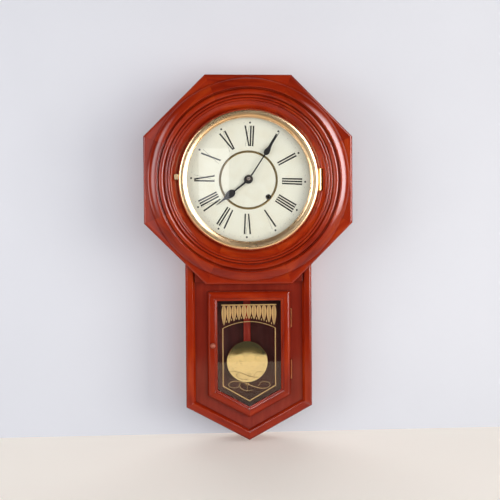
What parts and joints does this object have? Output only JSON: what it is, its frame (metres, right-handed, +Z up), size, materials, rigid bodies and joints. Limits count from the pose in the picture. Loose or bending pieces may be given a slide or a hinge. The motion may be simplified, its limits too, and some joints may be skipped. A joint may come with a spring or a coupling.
{
  "type": "pendulum wall clock",
  "caption": "Octagon-head pendulum wall clock in red-stained wood with a moulded head, hinged brass bezel, Roman dial, pointed glazed trunk door and a full going train inside.",
  "frame": {"origin": "centre of the hanger plate's round hole, on the plane of the wall", "axes": "+X to the viewer's right, -Y out of the wall towards the viewer, +Z up"},
  "size_m": [0.406, 0.117, 0.7165],
  "materials": {
    "case_wood": "gloss red-stained hardwood",
    "back_ply": "plain plywood",
    "rod_wood": "satin red-stained hardwood",
    "dial_paint": "cream enamel paint",
    "gilt": "bright gilt ring",
    "hand_black": "black paint",
    "brass": "lacquered spun brass",
    "bob_brass": "polished brass",
    "movement_brass": "plain brass",
    "steel": "plain steel",
    "glass": "clear"
  },
  "bodies": {
    "case": {"octagon_frame": "case_wood", "front_panel": "case_wood", "side_board_left": "case_wood", "side_board_right": "case_wood", "floor_boards": "case_wood", "top_board": "case_wood", "back_panel": "back_ply", "side_moulding_left": "case_wood", "side_moulding_right": "case_wood", "floor_mouldings": "case_wood", "hanger_plate": "steel", "case_screws": "steel", "small_screws": "brass", "dial_plate": "dial_paint", "dial_centre_ring": "gilt", "bezel_hinge_leaf": "brass", "hinge_pins": "brass", "door_hinge_case_leaves": "brass", "door_magnet_catch": "steel", "movement_front_plate": "movement_brass", "movement_back_plate": "movement_brass", "movement_pillars": "steel", "pillar_nuts": "movement_brass", "movement_feet": "steel", "click_spring": "steel"},
    "bezel": {"bezel_ring": "brass", "bezel_glass": "glass", "glass_retainer_ring": "brass", "bezel_hinge_wing": "brass"},
    "door": {"door_frame": "case_wood", "door_glass": "glass", "door_glass_beads": "case_wood", "door_knob": "case_wood", "door_hinge_door_leaves": "brass", "door_strike_plate": "steel"},
    "minute": {"centre_arbor": "steel", "centre_wheel": "movement_brass", "cannon_pinion": "steel", "minute_hand": "hand_black", "hand_nut": "brass"},
    "hour": {"hour_wheel": "movement_brass", "hour_hand": "hand_black"},
    "motion": {"minute_wheel": "movement_brass"},
    "intermediate": {"intermediate_wheel": "movement_brass"},
    "barrel": {"barrel_drum": "movement_brass", "barrel_cover": "movement_brass", "mainspring": "steel"},
    "third": {"third_wheel": "movement_brass"},
    "escape": {"escape_wheel": "movement_brass"},
    "verge": {"verge": "steel", "crutch": "movement_brass"},
    "pendulum": {"suspension_spring": "steel", "pendulum_hook": "movement_brass", "pendulum_rod": "rod_wood", "rating_stud": "steel"},
    "bob": {"bob": "bob_brass"},
    "rating_nut": {"rating_nut": "brass"},
    "winding": {"winding_arbor": "steel", "ratchet_wheel": "steel"},
    "click": {"click": "steel"}
  },
  "joints": [
    {"name": "minute_turn", "type": "hinge", "parent": "case", "child": "minute", "pos_m": [0, 0, -0.115], "axis": [0, 1, 0], "continuous": true},
    {"name": "hour_turn", "type": "hinge", "parent": "case", "child": "hour", "pos_m": [0, 0, -0.115], "axis": [0, 1, 0], "continuous": true},
    {"name": "motion_turn", "type": "hinge", "parent": "case", "child": "motion", "pos_m": [-0.018, 0, -0.115], "axis": [0, 1, 0], "continuous": true},
    {"name": "intermediate_turn", "type": "hinge", "parent": "case", "child": "intermediate", "pos_m": [0.00448, 0, -0.13766], "axis": [0, 1, 0], "continuous": true},
    {"name": "barrel_turn", "type": "hinge", "parent": "case", "child": "barrel", "pos_m": [0.0389, 0, -0.1482], "axis": [0, 1, 0], "continuous": true},
    {"name": "third_turn", "type": "hinge", "parent": "case", "child": "third", "pos_m": [-0.01136, 0, -0.09663], "axis": [0, 1, 0], "continuous": true},
    {"name": "escape_turn", "type": "hinge", "parent": "case", "child": "escape", "pos_m": [0, 0, -0.08467], "axis": [0, 1, 0], "continuous": true},
    {"name": "winding_turn", "type": "hinge", "parent": "case", "child": "winding", "pos_m": [0.0389, 0, -0.1482], "axis": [0, 1, 0], "continuous": true},
    {"name": "click_lift", "type": "hinge", "parent": "case", "child": "click", "pos_m": [0.05346, 0, -0.15321], "axis": [0, -1, 0], "range_deg": [0, 8], "stiffness_Nm_per_rad": 0.002, "springref_deg": -17.19},
    {"name": "pendulum_swing", "type": "hinge", "parent": "case", "child": "pendulum", "pos_m": [0, -0.018, -0.06], "axis": [0, 1, 0], "range_deg": [-2.5, 2.5]},
    {"name": "verge_rock", "type": "hinge", "parent": "case", "child": "verge", "pos_m": [0, -0.018, -0.06], "axis": [0, 1, 0], "range_deg": [-2.6, 2.6]},
    {"name": "bob_slide", "type": "slide", "parent": "pendulum", "child": "bob", "axis": [0, 0, 1], "range_m": [-0.005, 0.005]},
    {"name": "rating_nut_turn", "type": "hinge", "parent": "bob", "child": "rating_nut", "pos_m": [0, -0.018, -0.527], "axis": [0, 0, 1], "range_deg": [-2260, 2260]},
    {"name": "door_swing", "type": "hinge", "parent": "case", "child": "door", "pos_m": [0.0834, -0.079, -0.4355], "axis": [0, 0, 1], "range_deg": [0, 100]},
    {"name": "bezel_swing", "type": "hinge", "parent": "case", "child": "bezel", "pos_m": [0.1395, -0.1006, -0.115], "axis": [0, 0, 1], "range_deg": [0, 100]}
  ],
  "couplings": [
    {"joint": "hour_turn", "follows": "minute_turn", "ratio": 0.083333},
    {"joint": "motion_turn", "follows": "minute_turn", "ratio": -0.33333},
    {"joint": "intermediate_turn", "follows": "minute_turn", "ratio": -0.1},
    {"joint": "barrel_turn", "follows": "minute_turn", "ratio": 0.011111},
    {"joint": "third_turn", "follows": "minute_turn", "ratio": -8},
    {"joint": "escape_turn", "follows": "minute_turn", "ratio": 80},
    {"joint": "verge_rock", "follows": "pendulum_swing", "ratio": 1},
    {"joint": "rating_nut_turn", "follows": "bob_slide", "rad_per_m": 7854}
  ]
}
